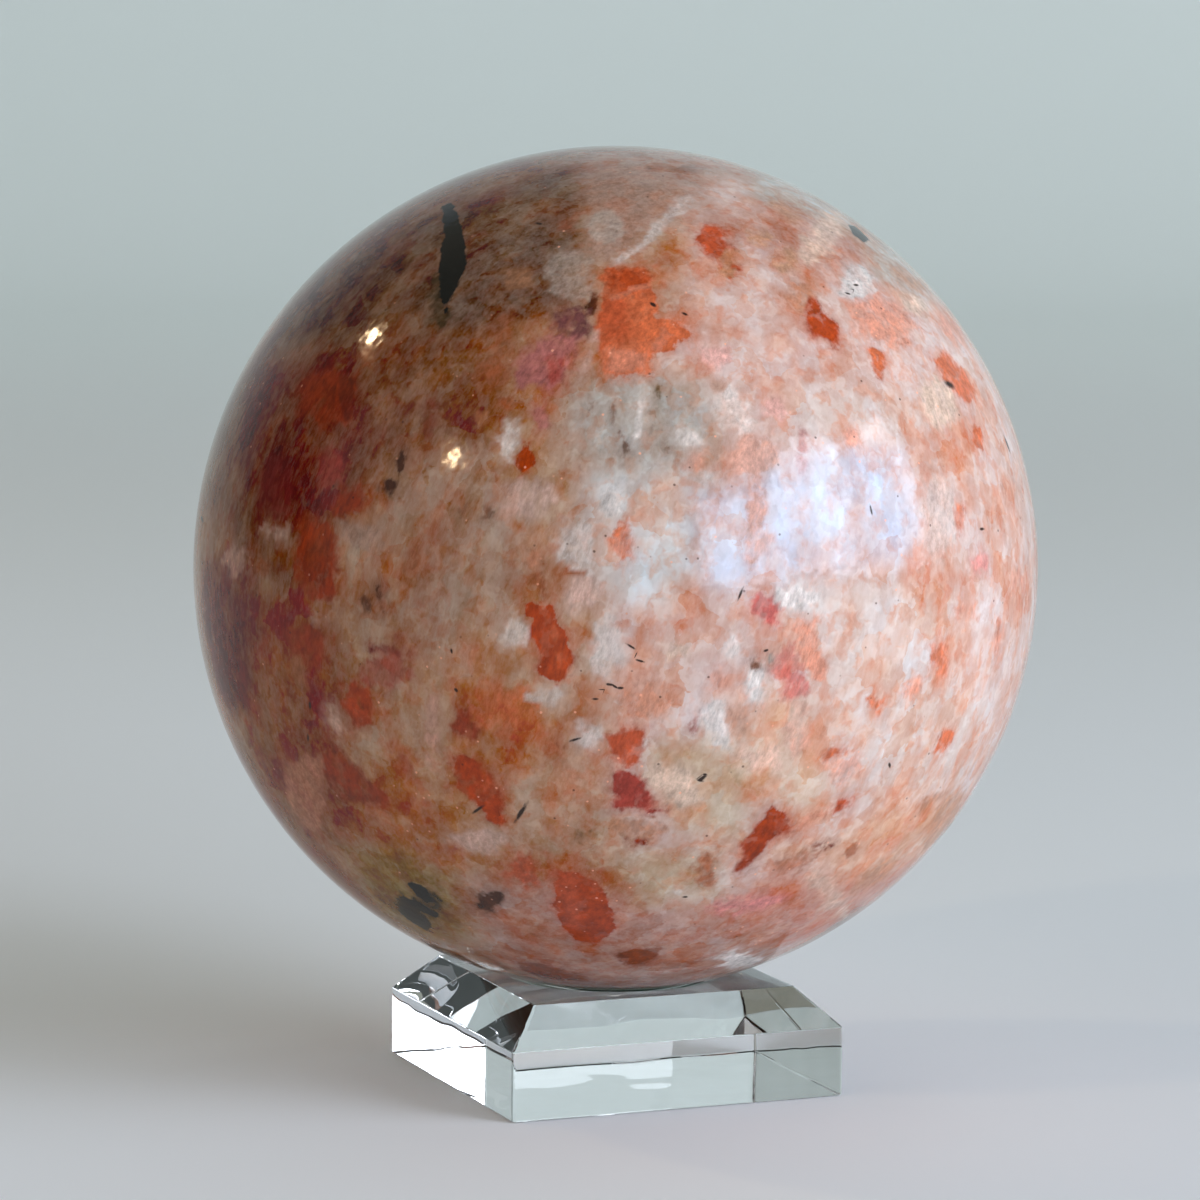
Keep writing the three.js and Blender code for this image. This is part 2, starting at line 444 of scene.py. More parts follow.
# Single grains: tint, softness of the edge in millimetres, how much they cover, outline
GRAINS = [
    ("copper", 0.25, 0.9, [(602, 267), (640, 267), (662, 277), (652, 288), (658, 300), (655, 316),
     (684, 321), (689, 336), (672, 350), (655, 355), (650, 373), (603, 376), (596, 355), (597, 325),
     (601, 300)]),
    ("red copper", 0.5, 0.85, [(693, 234), (712, 226), (724, 230), (729, 244), (738, 256), (741, 270),
     (728, 276), (718, 262), (704, 254)]),
    ("clay", 1.0, 0.5, oval(803, 296, 34, 30, 30)),
    ("clay", 0.6, 0.6, [(724, 248), (740, 252), (740, 262), (728, 268), (718, 258)]),
    ("tan", 0.6, 0.6, oval(726, 271, 18, 10)),
    ("deep copper", 0.4, 0.8, [(812, 293), (820, 303), (826, 318), (838, 325), (840, 348), (825, 342),
     (808, 335), (802, 318), (806, 303)]),
    ("copper", 0.4, 0.8, [(866, 348), (885, 350), (888, 362), (880, 378), (872, 370)]),
    ("copper", 0.5, 0.75, [(932, 360), (940, 353), (950, 356), (962, 370), (973, 385), (977, 402),
     (968, 405), (958, 398), (950, 385), (940, 375)]),
    ("copper", 0.4, 0.85, [(974, 428), (980, 427), (985, 440), (983, 450), (976, 450), (972, 440)]),
    ("bright copper", 0.5, 0.6, [(955, 503), (965, 505), (966, 525), (962, 534), (955, 528)]),
    ("bright copper", 0.5, 0.75, [(617, 520), (627, 522), (632, 540), (634, 558), (622, 563), (614, 555),
     (613, 535)]),
    ("pale salmon", 0.5, 0.7, [(738, 440), (748, 432), (775, 445), (778, 460), (765, 470), (740, 478),
     (728, 460)]),
    ("rosy", 0.7, 0.85, oval(757, 520, 20, 90, 3)),
    ("bright copper", 0.6, 0.75, [(940, 632), (948, 648), (950, 665), (946, 682), (937, 683), (930, 668),
     (932, 650)]),
    ("salmon", 0.9, 0.7, oval(912, 688, 14, 30, 35)),
    ("copper", 0.4, 0.8, [(946, 728), (956, 730), (948, 745), (938, 756), (933, 752), (938, 738)]),
    ("bright copper", 0.5, 0.8, [(875, 690), (881, 700), (882, 718), (874, 712), (868, 700)]),
    ("salmon", 0.7, 0.8, [(998, 620), (1003, 635), (998, 655), (992, 645)]),
    ("light clay", 0.8, 0.6, oval(1009, 490, 12, 20)),
    ("salmon", 0.8, 0.6, oval(1017, 575, 10, 30)),
    ("copper", 0.8, 0.8, [(825, 752), (838, 745), (850, 750), (845, 762), (830, 765)]),
    ("salmon", 1.0, 0.65, [(850, 300), (880, 295), (915, 320), (910, 345), (880, 345), (855, 330)]),
    ("light tan", 1.0, 0.6, oval(760, 236, 16, 17)),
    ("light tan", 1.0, 0.6, oval(788, 262, 26, 24)),
    ("copper", 0.6, 0.55, oval(959, 611, 8, 17)),
    ("salmon", 0.6, 0.55, oval(972, 612, 6, 15)),
    ("russet", 0.4, 0.9, oval(803, 722, 7, 26, -5)),
    ("light clay", 0.5, 0.5, oval(822, 732, 14, 16)),
    ("pale peach", 0.8, 0.6, oval(762, 760, 46, 30)),
    ("salmon", 0.8, 0.6, oval(721, 679, 14, 22)),
    ("salmon", 0.7, 0.4, oval(695, 457, 20, 24)),
    ("brick red", 0.5, 0.85, oval(694, 727, 8, 16)),
    ("deep copper", 0.2, 0.95, [(524, 606), (530, 603), (553, 606), (558, 620), (568, 642), (574, 656),
     (576, 671), (565, 679), (550, 681), (540, 675), (536, 660), (531, 630)]),
    ("rust", 0.5, 0.7, [(528, 560), (540, 562), (548, 585), (545, 600), (537, 592), (530, 575)]),
    ("light clay", 0.7, 0.6, [(525, 540), (540, 545), (540, 575), (528, 570)]),
    ("deep copper", 0.2, 0.9, [(526, 436), (530, 445), (533, 458), (531, 468), (523, 474), (517, 466),
     (517, 455)]),
    ("dark amber", 0.6, 0.7, [(468, 702), (478, 705), (482, 725), (475, 740), (455, 738), (450, 722)]),
    ("deep copper", 0.35, 0.85, [(460, 752), (480, 760), (497, 780), (505, 800), (505, 820), (495, 824),
     (485, 812), (470, 800), (455, 785), (448, 765)]),
    ("red copper", 0.4, 0.8, [(606, 735), (625, 728), (648, 725), (647, 740), (640, 760), (630, 768),
     (612, 762)]),
    ("dark amber", 0.5, 0.9, oval(636, 836, 24, 20)),
    ("deep copper", 0.2, 0.95, [(548, 866), (565, 870), (598, 877), (605, 880), (608, 900), (614, 920),
     (618, 928), (606, 938), (592, 945), (575, 940), (560, 925), (553, 905), (554, 885)]),
    ("amber", 0.3, 0.85, [(770, 808), (790, 815), (797, 824), (790, 834), (770, 840), (765, 852),
     (752, 862), (742, 872), (735, 872), (738, 858), (742, 842), (755, 832), (762, 820)]),
    ("red copper", 0.7, 0.7, [(505, 862), (520, 850), (540, 855), (535, 870), (540, 882), (525, 888),
     (500, 872)]),
    ("copper", 1.2, 0.4, [(470, 690), (540, 690), (540, 730), (500, 735), (475, 725)]),
    ("light clay", 0.6, 0.5, oval(472, 655, 15, 20)),
    ("light clay", 0.8, 0.5, oval(575, 780, 30, 20)),
    ("rust", 0.7, 0.65, oval(705, 867, 20, 35)),
    ("rust", 0.5, 0.85, oval(558, 744, 13, 12)),
    ("clay", 0.5, 0.6, oval(583, 713, 13, 10)),
    ("dark rust", 0.5, 0.5, oval(572, 568, 25, 13)),
    ("amber", 0.9, 0.7, [(300, 375), (330, 370), (355, 375), (355, 400), (350, 420), (325, 425),
     (300, 415)]),
    ("russet", 0.6, 0.8, [(340, 375), (355, 380), (355, 415), (345, 420), (338, 400)]),
    ("amber", 0.5, 0.85, [(340, 485), (362, 487), (372, 500), (360, 512), (345, 518), (332, 512),
     (335, 498)]),
    ("amber", 0.6, 0.85, [(300, 515), (330, 520), (340, 545), (340, 575), (335, 600), (310, 600),
     (292, 560)]),
    ("amber", 0.6, 0.7, [(280, 632), (310, 625), (330, 640), (322, 660), (308, 672), (300, 655),
     (285, 645)]),
    ("deep copper", 0.5, 0.8, [(343, 684), (355, 680), (368, 690), (378, 705), (370, 725), (352, 728),
     (344, 712)]),
    ("russet", 0.8, 0.75, oval(380, 680, 30, 20)),
    ("amber", 0.5, 0.75, [(322, 755), (335, 747), (350, 755), (360, 770), (385, 790), (392, 808),
     (380, 812), (350, 800), (330, 785), (322, 770)]),
    ("amber", 1.0, 0.5, oval(405, 762, 20, 25)),
    ("rust", 0.7, 0.5, oval(264, 566, 12, 23)),
    ("rust", 0.5, 0.8, oval(507, 403, 15, 17)),
    ("clay", 0.5, 0.6, oval(480, 415, 10, 10)),
    ("russet", 0.5, 0.7, oval(380, 435, 10, 10)),
    ("dark brown", 0.5, 0.85, oval(390, 485, 20, 14)),
    ("rust", 0.5, 0.8, oval(413, 565, 10, 20)),
    ("dull tan", 0.8, 0.6, oval(516, 278, 32, 27)),
    ("dark rust", 0.6, 0.45, oval(565, 223, 20, 17)),
    ("dark brown", 0.3, 0.85, oval(592, 306, 15, 27, 20)),
    ("rust", 0.9, 0.4, oval(505, 337, 30, 55, 10)),
    ("dark brown", 0.3, 0.6, oval(365, 605, 9, 20, -10)),
    ("dark brown", 0.3, 0.75, oval(381, 598, 6, 27, -5)),
    ("dark brown", 0.3, 0.85, oval(401, 465, 7, 30, 10)),
    ("rust", 0.6, 0.55, oval(367, 355, 15, 20, 30)),
    ("maroon", 1.1, 0.6, [(268, 455), (285, 455), (293, 480), (296, 510), (285, 522), (262, 520),
     (258, 500)]),
    ("brick red", 1.0, 0.6, oval(331, 470, 27, 40)),
    ("maroon", 1.0, 0.85, oval(242, 680, 12, 50)),
    ("dark red", 0.8, 0.6, oval(397, 655, 25, 30)),
    ("maroon", 0.5, 0.85, oval(371, 650, 7, 10)),
    ("dusty pink", 0.5, 0.85, [(560, 330), (585, 322), (580, 345), (572, 370), (560, 388), (548, 393),
     (530, 385), (515, 388), (512, 375), (520, 352), (540, 338)]),
    ("plum", 0.6, 0.75, [(550, 318), (575, 305), (592, 312), (586, 340), (570, 335), (555, 338)]),
    ("dusty pink", 0.5, 0.6, oval(540, 417, 16, 25, -20)),
    ("brick red", 0.35, 0.85, [(612, 768), (635, 770), (645, 785), (655, 800), (668, 810), (655, 815),
     (612, 808)]),
    ("rose red", 0.5, 0.8, [(750, 600), (762, 592), (768, 602), (775, 595), (782, 610), (775, 625),
     (750, 615)]),
    ("rose red", 0.8, 0.6, [(778, 655), (790, 650), (800, 665), (808, 685), (800, 700), (785, 700),
     (772, 670)]),
    ("salmon", 0.8, 0.75, [(797, 620), (815, 618), (820, 640), (826, 670), (818, 682), (806, 668),
     (798, 645)]),
    ("dark rust", 0.4, 0.85, [(615, 955), (630, 948), (660, 948), (663, 953), (655, 960), (640, 965),
     (625, 968)]),
    ("dark rust", 0.6, 0.7, [(515, 962), (545, 962), (585, 975), (590, 980), (550, 980), (520, 970)]),
    ("red copper", 0.4, 0.9, [(828, 812), (840, 800), (852, 797), (850, 804), (838, 812), (830, 816)]),
    ("salmon", 0.7, 0.7, oval(851, 438, 18, 27)),
    ("bright pink", 0.7, 0.6, oval(979, 563, 18, 17)),
    ("blush", 0.7, 0.6, oval(773, 409, 24, 18)),
    ("blush", 0.7, 0.7, oval(713, 357, 34, 24)),
    ("rosy", 0.9, 0.5, oval(762, 545, 26, 30)),
    ("light clay", 0.7, 0.6, oval(630, 697, 20, 25)),
    ("salmon", 0.6, 0.6, oval(820, 815, 30, 12, -20)),
    ("rust", 0.9, 0.5, oval(792, 862, 45, 16, -20)),
    ("pink", 0.9, 0.85, oval(750, 903, 75, 16, -8)),
    ("dusty pink", 0.7, 0.6, oval(803, 450, 11, 45)),
    ("salmon", 0.9, 0.5, oval(952, 330, 14, 45, -40)),
    ("snow", 0.9, 0.75, oval(740, 960, 40, 18)),
    ("dark brown", 0.5, 0.95, [(478, 896), (495, 890), (503, 892), (500, 905), (485, 912), (470, 910)]),
    ("dark brown", 0.4, 0.5, oval(674, 197, 18, 10, 60)),
    ("dark brown", 0.4, 0.9, oval(641, 169, 18, 7)),
    ("russet", 0.4, 0.75, oval(619, 185, 18, 10)),
    ("umber", 0.5, 0.3, oval(685, 170, 20, 9)),
    ("walnut", 0.4, 0.6, oval(464, 510, 12, 10)),
    ("umber", 0.4, 0.6, oval(488, 514, 8, 8)),
    ("rust", 0.5, 0.6, oval(537, 933, 15, 10)),
    ("beige", 0.5, 0.4, oval(718, 385, 13, 10)),
    ("rust", 0.4, 0.6, oval(850, 850, 10, 20, 30)),
    ("russet", 0.5, 0.9, oval(827, 845, 15, 10)),
    ("tan", 0.9, 0.5, oval(910, 282, 44, 14, 40)),
    ("light tan", 0.9, 0.5, oval(785, 212, 40, 12, 35)),
    ("tan", 0.9, 0.6, oval(942, 820, 20, 70, 35)),
    ("tan", 0.9, 0.5, oval(875, 875, 60, 14, -35)),
    ("clay", 0.5, 0.6, [(916, 808), (925, 798), (940, 790), (945, 795), (930, 808), (920, 815)]),
    ("dark olive", 0.7, 0.7, oval(440, 300, 22, 56, 5)),
    ("dark olive", 0.7, 0.85, oval(420, 905, 44, 30)),
    ("olive", 0.4, 0.4, oval(586, 836, 22, 12)),
    ("grey", 0.9, 0.35, [(547, 255), (585, 252), (590, 275), (588, 300), (560, 300), (550, 285)]),
    ("mauve", 0.35, 0.35, [(586, 168), (640, 163), (680, 191), (628, 249), (604, 261), (588, 250)]),
    ("dull white", 0.3, 0.45, [(684, 190), (700, 193), (690, 206), (645, 250), (622, 264), (612, 262),
     (640, 240)]),
    ("white", 0.8, 0.6, oval(510, 442, 18, 52, 10)),
    ("dull white", 0.8, 0.5, [(560, 522), (592, 520), (595, 568), (575, 570), (558, 560)]),
    ("dull white", 0.5, 0.8, oval(612, 500, 24, 38)),
    ("dull white", 0.3, 0.8, oval(708, 477, 10, 18, 45)),
    ("dull white", 0.7, 0.8, oval(857, 282, 36, 34)),
    ("cream", 0.8, 0.7, oval(915, 305, 30, 16, 30)),
    ("cream", 0.8, 0.8, oval(940, 405, 34, 50, -20)),
    ("pale pink", 1.0, 0.5, oval(581, 595, 36, 36)),
    ("white", 0.8, 0.45, oval(517, 635, 24, 28)),
    ("dull white", 0.9, 0.4, oval(542, 697, 34, 15)),
    ("dull white", 0.6, 0.5, oval(607, 652, 32, 70)),
    ("dull white", 0.35, 0.7, [(702, 702), (722, 700), (735, 725), (730, 748), (712, 745), (705, 725)]),
    ("dull white", 0.3, 0.8, [(745, 672), (765, 670), (762, 700), (752, 722), (746, 700)]),
    ("dull white", 0.4, 0.6, oval(731, 647, 13, 24)),
    ("cream", 0.5, 0.6, oval(677, 650, 24, 20)),
    ("mauve", 0.5, 0.5, oval(738, 720, 20, 38)),
    ("pale salmon", 0.5, 0.45, oval(432, 732, 13, 80)),
    ("mauve", 0.5, 0.6, [(340, 520), (350, 515), (385, 530), (388, 548), (350, 552), (338, 540)]),
    ("pale pink", 0.5, 0.55, oval(276, 533, 26, 12)),
    ("dusty rose", 0.6, 0.6, oval(233, 560, 22, 28)),
    ("dusty rose", 0.4, 0.5, oval(320, 617, 18, 14)),
    ("clay", 0.4, 0.5, oval(300, 672, 14, 34, -20)),
    ("pale peach", 0.5, 0.5, oval(335, 720, 16, 38, -20)),
    ("light clay", 0.35, 0.5, [(283, 760), (323, 755), (325, 800), (320, 838), (300, 825), (287, 795)]),
    ("cream", 0.35, 0.7, [(640, 775), (680, 812), (700, 800), (690, 770), (660, 762)]),
    ("white", 0.9, 0.6, oval(735, 412, 50, 34, 60)),
    ("grey", 0.8, 0.5, oval(606, 227, 38, 34)),
    ("cream", 1.0, 0.6, oval(822, 238, 64, 26, -55)),
    ("dull white", 0.5, 0.7, oval(797, 598, 44, 26)),
    ("shell", 1.0, 0.5, oval(938, 520, 34, 90)),
    ("dull white", 0.6, 0.5, oval(588, 735, 34, 30)),
    ("pale salmon", 0.6, 0.5, oval(797, 728, 28, 60)),
    ("pale pink", 0.8, 0.5, oval(478, 842, 60, 26)),
    ("pale pink", 0.8, 0.45, oval(528, 500, 56, 44)),
    ("pale pink", 0.3, 0.7, oval(591, 352, 9, 52, 18)),
    ("brick red", 0.8, 0.5, oval(385, 672, 50, 36)),
    ("light clay", 0.9, 0.6, oval(652, 702, 44, 40)),
    ("rust", 0.6, 0.6, oval(414, 560, 14, 40)),
    ("salmon", 0.9, 0.5, oval(846, 768, 40, 30)),
    ("clay", 0.8, 0.5, oval(640, 828, 50, 24)),
    ("cream", 0.9, 0.5, oval(830, 893, 60, 22, 55)),
    ("rust", 0.9, 0.5, oval(495, 375, 40, 36)),
    ("russet", 0.9, 0.5, oval(432, 418, 36, 30)),
]

# What lies on the grains: veins, cracks and the deeper parts of crystals
ACCENTS = [
    ("deep copper", 0.4, 0.7, [(612, 269), (640, 269), (656, 278), (648, 290), (615, 297), (606, 286)]),
    ("red copper", 0.6, 0.55, [(600, 298), (622, 296), (634, 320), (628, 345), (600, 348)]),
    ("salmon", 0.5, 0.5, [(606, 348), (650, 350), (648, 370), (608, 373)]),
    ("salmon", 0.15, 0.3, [(664, 277), (666, 281), (612, 301), (610, 297)]),
    ("copper", 0.3, 0.5, [(550, 618), (554, 618), (563, 668), (558, 670)]),
    ("red copper", 0.5, 0.7, [(556, 872), (575, 876), (580, 930), (566, 925), (558, 900)]),
    ("brick red", 0.7, 0.6, oval(555, 370, 20, 30, 10)),
    ("rust", 0.3, 0.7, oval(570, 362, 8, 25, 10)),
    ("deep copper", 0.4, 0.6, oval(776, 822, 26, 20, 40)),
    ("brick red", 0.5, 0.7, oval(630, 795, 20, 24, -30)),
    ("dark rust", 0.6, 0.35, oval(318, 545, 20, 50, 5)),
    ("olive", 0.3, 0.7, oval(660, 390, 5, 13)),
    ("olive", 0.3, 0.7, oval(653, 420, 5, 13)),
    ("umber", 0.3, 0.6, [(608, 405), (613, 404), (628, 452), (624, 456)]),
    ("umber", 0.3, 0.5, oval(670, 453, 4, 18, -15)),
    ("walnut", 0.3, 0.5, oval(590, 408, 5, 20, 10)),
    ("white", 0.3, 0.7, oval(640, 418, 10, 44, 12)),
    ("white", 0.5, 0.5, oval(690, 440, 30, 20, 30)),
    ("grey", 0.4, 0.4, oval(600, 440, 14, 30, 10)),
    ("umber", 0.4, 0.85, oval(757, 661, 12, 10)),
    ("grey", 0.3, 0.8, oval(769, 658, 8, 11)),
    ("white", 0.3, 0.7, oval(678, 894, 8, 7)),
    ("cream", 0.4, 0.6, oval(690, 800, 18, 16)),
]

# Black hornblende: outline
BLACKS = [
    [(443, 205), (450, 203), (457, 213), (461, 226), (464, 236), (467, 258), (466, 271), (460, 280),
     (454, 291), (449, 306), (446, 316), (441, 304), (439, 289), (439, 268), (440, 250), (444, 238),
     (443, 221), (441, 209)],
    [(407, 884), (412, 881), (425, 888), (435, 900), (430, 904), (418, 897)],
    [(400, 898), (404, 896), (420, 902), (439, 913), (436, 918), (418, 910)],
    [(399, 907), (405, 904), (420, 915), (433, 924), (428, 932), (412, 922), (401, 914)],
    [(848, 224), (856, 227), (870, 240), (864, 242), (852, 234)],
]

# Needles and specks too fine for the mesh: both ends and the width, in pixels
SPECKS = [
    (946, 383, 953, 386, 8), (473, 813, 483, 806, 3), (515, 822, 527, 803, 4), (738, 600, 743, 588, 2.4),
    (310, 702, 310, 709, 3.4), (308, 735, 308, 741, 2.6), (201, 517, 203, 521, 3.4),
    (683, 897, 687, 897, 3), (651, 303, 655, 306, 3.6), (1004, 436, 1010, 452, 5),
    (593, 699, 598, 699, 2.4), (571, 741, 580, 738, 2.6), (980, 529, 984, 529, 3),
    (627, 644, 635, 649, 2.4), (637, 660, 644, 662, 2.2), (606, 684, 613, 685, 2.6),
    (618, 688, 623, 688, 2.4), (536, 223, 541, 224, 4), (846, 293, 850, 294, 3), (854, 285, 858, 285, 3),
    (697, 779, 702, 781, 3), (703, 774, 707, 775, 2.8), (870, 505, 872, 514, 2.2), (889, 763, 890, 767, 3),
    (764, 651, 768, 650, 2.6), (683, 313, 687, 315, 3), (455, 689, 457, 691, 3), (451, 649, 452, 653, 2.4),
]

# Where coppery plates glitter close together, so that more painted glints are laid there: outline
GLITTERS = [
    oval(672, 332, 34, 32), oval(874, 318, 22, 30), oval(430, 778, 26, 26), oval(784, 940, 40, 18),
    oval(628, 742, 44, 40), oval(586, 905, 40, 60), oval(478, 790, 30, 50),
]

SEED = 11
MILLIMETRES = 1000  # in a metre
GRAIN_REACH = 3.0  # how far outside its outline a grain still counts, in millimetres
CLOUD_EDGE = 3.5  # how far in and out the edge of a cloud fades, in millimetres
GLITTER_FADE = 2.0  # the same for glitter, outward only
SPECK_REACH = 0.0013  # about two edges of the mesh, in metres
SPECK_FAR = 9.0  # for a point with no needle near it
UNSEEN_EDGE = 0.02  # cosine between the way to the camera and the nearest place on the unseen side
UNSEEN_DRAWS = 36  # places drawn for the copy of a mark, of which some are on the unseen side
UNSEEN_TRIES = 12  # how many of those are tried
COPY_TWIST = 0.35  # how far the copies are twisted, as a standard deviation in radians

chance = np.random.default_rng(SEED)
places = np.empty(len(stone_mesh.vertices) * 3)
stone_mesh.vertices.foreach_get("co", places)
facings = places.reshape(-1, 3) - np.array(stone_centre)
facings /= np.linalg.norm(facings, axis=1)[:, None]
from_centre = camera.location - stone_centre


def on_stone(x, y):
    """Which way the stone faces where the camera sees it at that pixel."""
    ray = view_right * (x - PHOTO_SIDE / 2) - view_up * (y - PHOTO_SIDE / 2)
    ray = (ray + view_forward * PIXELS_PER_RADIAN).normalized()
    nearest = from_centre - ray * from_centre.dot(ray)
    short = STONE_RADIUS**2 - nearest.length_squared
    return (nearest - ray * math.sqrt(max(short, 0))).normalized()


def axes_at(way):
    """Sideways, upward and outward on the stone where it faces that way."""
    across = np.cross((0, 0, 1), way)
    across /= np.linalg.norm(across)
    return np.stack((across, np.cross(way, across), way))


def middle_of(corners):
    """The way that the stone faces in the middle of an outline."""
    middle = corners.mean(axis=0)
    return middle / np.linalg.norm(middle)


def moved(corners, way, twist):
    """The same outline at another place on the stone, twisted there."""
    local = corners @ axes_at(middle_of(corners)).T
    cosine, sine = math.cos(twist), math.sin(twist)
    across = local[:, 0] * cosine - local[:, 1] * sine
    upward = local[:, 0] * sine + local[:, 1] * cosine
    return np.column_stack((across, upward, local[:, 2])) @ axes_at(way)


def depth_inside(corners, reach):
    """The mesh points near an outline, and how many millimetres inside it each lies, less than 0 outside."""
    axes = axes_at(middle_of(corners))
    turned = corners @ axes.T
    widest = math.acos(min(turned[:, 2])) + reach / STONE_RADIUS / MILLIMETRES
    near = np.nonzero(facings @ axes[2] > math.cos(widest))[0]
    spread = STONE_RADIUS * MILLIMETRES
    x, y = (facings[near] @ axes[:2].T * spread).T
    inside = np.zeros(len(near), bool)
    nearest = np.full(len(near), np.inf)
    ends = turned[:, :2] * spread
    for (x0, y0), (x1, y1) in zip(ends, np.roll(ends, -1, axis=0)):
        wide, high = x1 - x0, y1 - y0
        share = np.clip(((x - x0) * wide + (y - y0) * high) / (wide**2 + high**2), 0, 1)
        nearest = np.minimum(nearest, np.hypot(x - x0 - share * wide, y - y0 - share * high))
        if high:
            inside ^= ((y0 > y) != (y1 > y)) & (x < wide * (y - y0) / high + x0)
    return near, np.where(inside, nearest, -nearest)


def all_round(outlines):
    """The outlines as ways that the stone faces, and a copy of each somewhere on the side that isn't seen."""
    made = [np.array([on_stone(x, y) for x, y in outline]) for outline in outlines]
    to_camera = np.array(from_centre.normalized())
    taken = []
    copies = []
    for corners in made:
        tries = chance.normal(size=(UNSEEN_DRAWS, 3))
        tries /= np.linalg.norm(tries, axis=1)[:, None]
        tries = tries[tries @ to_camera < UNSEEN_EDGE][:UNSEEN_TRIES]
        closest = (tries @ np.array(taken).T).max(axis=1) if taken else tries[:, 2]
        taken.append(tries[closest.argmin()])
        copies.append(moved(corners, taken[-1], chance.normal(0, COPY_TWIST)))
    return made + copies


def keep(name, kind, values):
    """Puts a value at each mesh point of the stone, under that name."""
    stone_mesh.attributes.new(name, kind, "POINT")
    field = {"FLOAT": "value", "FLOAT_VECTOR": "vector", "FLOAT_COLOR": "color"}[kind]
    stone_mesh.attributes[name].data.foreach_set(field, np.ravel(values))


def deepest_in(outlines, reach):
    """How many millimetres each mesh point lies inside any of the outlines, and never less than -reach."""
    deepest = np.full(len(facings), -reach)
    for corners in all_round(outlines):
        near, depth = depth_inside(corners, reach)
        deepest[near] = np.maximum(deepest[near], depth)
    return deepest


def keep_marks(name, marks):
    """Keeps, for marks laid one on another, the tint, and the depth, edge softness and cover."""
    count = len(facings)
    tints = np.ones((count, 4))
    shapes = np.tile((-GRAIN_REACH, 1.0, 0.0), (count, 1))
    best = np.full(count, -GRAIN_REACH)
    outlines = all_round([mark[3] for mark in marks])
    for (tint, edge, cover, _), corners in zip(marks * 2, outlines):
        near, depth = depth_inside(corners, GRAIN_REACH)
        shapes[near, 0] = np.maximum(shapes[near, 0], depth)
        won = (depth > 0) | (depth > best[near])
        best[near] = np.where(depth > 0, GRAIN_REACH, np.maximum(best[near], depth))
        tints[near[won]] = linear(TINTS[tint])
        shapes[near[won], 1:] = (edge, cover)
    keep(f"{name}_tint", "FLOAT_COLOR", tints)
    keep(f"{name}_shape", "FLOAT_VECTOR", shapes)


cloud_tint = np.tile(linear(TINTS["beige"]), (len(facings), 1))
for (tint, _), corners in zip(CLOUDS * 2, all_round([outline for _, outline in CLOUDS])):
    near, depth = depth_inside(corners, CLOUD_EDGE)
    share = np.clip((depth / CLOUD_EDGE + 1) / 2, 0, 1)
    share = (share * share * (3 - 2 * share))[:, None]
    cloud_tint[near] = cloud_tint[near] * (1 - share) + np.array(linear(TINTS[tint])) * share
keep("cloud_tint", "FLOAT_COLOR", cloud_tint)
keep_marks("grain", GRAINS)
keep_marks("accent", ACCENTS)
keep("black_depth", "FLOAT", deepest_in(BLACKS, GRAIN_REACH))
keep("glitter", "FLOAT", np.clip(deepest_in(GLITTERS, GLITTER_FADE) / GLITTER_FADE + 1, 0, 1))
# A needle is finer than the mesh, so each point keeps where it lies from the nearest one: along it and across
# it, where 1 is its tip or side, and how far past it
speck_place = np.full((len(facings), 3), SPECK_FAR)
closest = np.full(len(facings), SPECK_FAR)
ends_of_specks = [((x0, y0), (x1, y1)) for x0, y0, x1, y1, _ in SPECKS]
for (*_, width), (start, end) in zip(SPECKS * 2, all_round(ends_of_specks)):
    outward = middle_of(np.array((start, end)))
    along = (end - start) / np.linalg.norm(end - start)
    half_wide = width * CAMERA_DISTANCE / PIXELS_PER_RADIAN / 2
    half_long = np.linalg.norm(end - start) * STONE_RADIUS / 2 + half_wide / 2
    place = (facings - outward) @ np.column_stack((along, np.cross(outward, along), outward)) * STONE_RADIUS
    away = np.linalg.norm(place, axis=1) - half_long
    past = np.maximum(away - SPECK_REACH, 0) / half_wide
    near = away < closest
    closest[near] = away[near]
    speck_place[near] = np.column_stack((place[:, 0] / half_long, place[:, 1] / half_wide, past))[near]
keep("speck_place", "FLOAT_VECTOR", speck_place)

# Sunstone, polished: a milky, cleaved body with coppery plates in it, under a gloss that the grains break
# up. The light goes a little way in, which softens its shadows. The scales of its patterns are per
# millimetre: patches 6 mm wide, crystals 4.5, mottles 2.4, dust and streaks 0.8, and ragged edges 2.2.
BREAK_UP = (3.2, 3.2, 3.2)  # how far the ragged noise pushes mottles and crystals about, in millimetres
LEAST_RAGGED = 1.6  # how far a sharp edge swings, in millimetres
RAGGED_BY_EDGE = 4.0  # and how much further for each millimetre of softness
HALO = (-2.2, 0.3, 0.3)  # a faint tint round a grain: from, to, in millimetres inside it, and its cover
MOST_COVER = 1.1  # over 1, so that the middle of a grain is covered in full
GLITTER_SHARE = 0.15  # how much more often plates show where they glitter
FLECK_SIZE = 0.16  # of the spacing of the flecks
FLECK_BLUR = 0.14
FLECK_FREE = 0.985  # of the places have no fleck
FLECK_FAINT = 0.995  # have none or a faint one
FLECK_COVER = 0.7
SPECK_EDGE = (1.3, 0.6)  # from the outside to the inside of a needle, where 1 is its side
BLACK_EDGE = (-0.12, 0.15)  # in millimetres inside its outline
BLACK_COVER = 0.97  # of both
GLOSS = (0.08, 0.11)  # roughness of the polish, from crystal to crystal
DULLER = 0.10  # how much rougher the grains are polished
RELIEF_HEIGHT = 0.00005
FELDSPAR_BEND = 1.54  # its index of refraction
UNDER, OVER, MIXED = 6, 7, 2  # the colours of a Mix node by number, because their names repeat

tree = emptied_tree(feldspar)
on_ball = add(tree, "ShaderNodeTexCoord").outputs["Object"]
in_mm = add(tree, "ShaderNodeVectorMath", {0: on_ball, "Scale": MILLIMETRES}, operation="SCALE")
